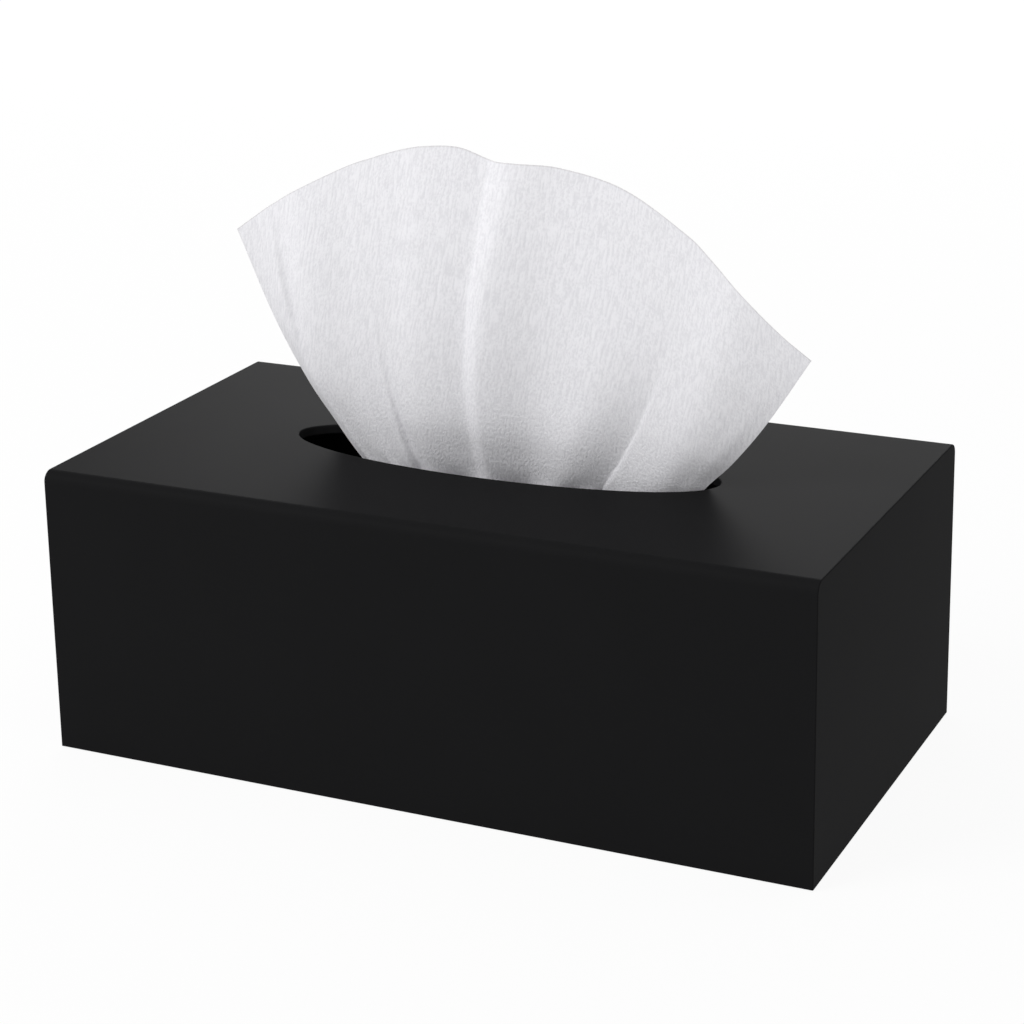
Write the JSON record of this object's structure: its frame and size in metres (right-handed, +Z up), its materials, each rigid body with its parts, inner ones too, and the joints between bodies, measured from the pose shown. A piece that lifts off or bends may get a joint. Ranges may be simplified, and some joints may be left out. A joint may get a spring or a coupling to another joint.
{
  "type": "tissue box with drawer",
  "caption": "Rectangular tissue dispenser box with an oval slot in its lid and a refill drawer that slides out of one end.",
  "frame": {"origin": "on the table under the middle of the box", "axes": "+X along the box to its closed right end, so the drawer pulls out along -X; +Y from the front to the rear; +Z up"},
  "size_m": [0.25, 0.134, 0.1898],
  "materials": {
    "acrylic": "satin",
    "pad": "matte",
    "steel": "satin",
    "magnet": "satin",
    "felt": "matte",
    "tissue": "matte"
  },
  "bodies": {
    "case": {"bent_sleeve": "acrylic", "right_end_panel": "acrylic", "floor_panel": "acrylic", "non_slip_pad_front_left": "pad", "non_slip_pad_rear_left": "pad", "non_slip_pad_front_right": "pad", "non_slip_pad_rear_right": "pad", "stop_rail_front": "acrylic", "stop_rail_rear": "acrylic", "steel_disc_front": "steel", "steel_disc_rear": "steel"},
    "drawer": {"drawer_front": "acrylic", "drawer_base": "acrylic", "drawer_back": "acrylic", "drawer_wall_front": "acrylic", "drawer_wall_rear": "acrylic", "glide_strip_front": "felt", "glide_strip_rear": "felt", "drawer_magnet_front": "magnet", "drawer_magnet_rear": "magnet", "tissue_stack": "tissue"},
    "tissue": {"raised_tissue": "tissue"}
  },
  "joints": [
    {"name": "drawer_slide", "type": "slide", "parent": "case", "child": "drawer", "axis": [-1, 0, 0], "range_m": [0, 0.21]},
    {"name": "tissue_pull", "type": "slide", "parent": "case", "child": "tissue", "axis": [0, 0, 1], "range_m": [0, 0.03]}
  ]
}
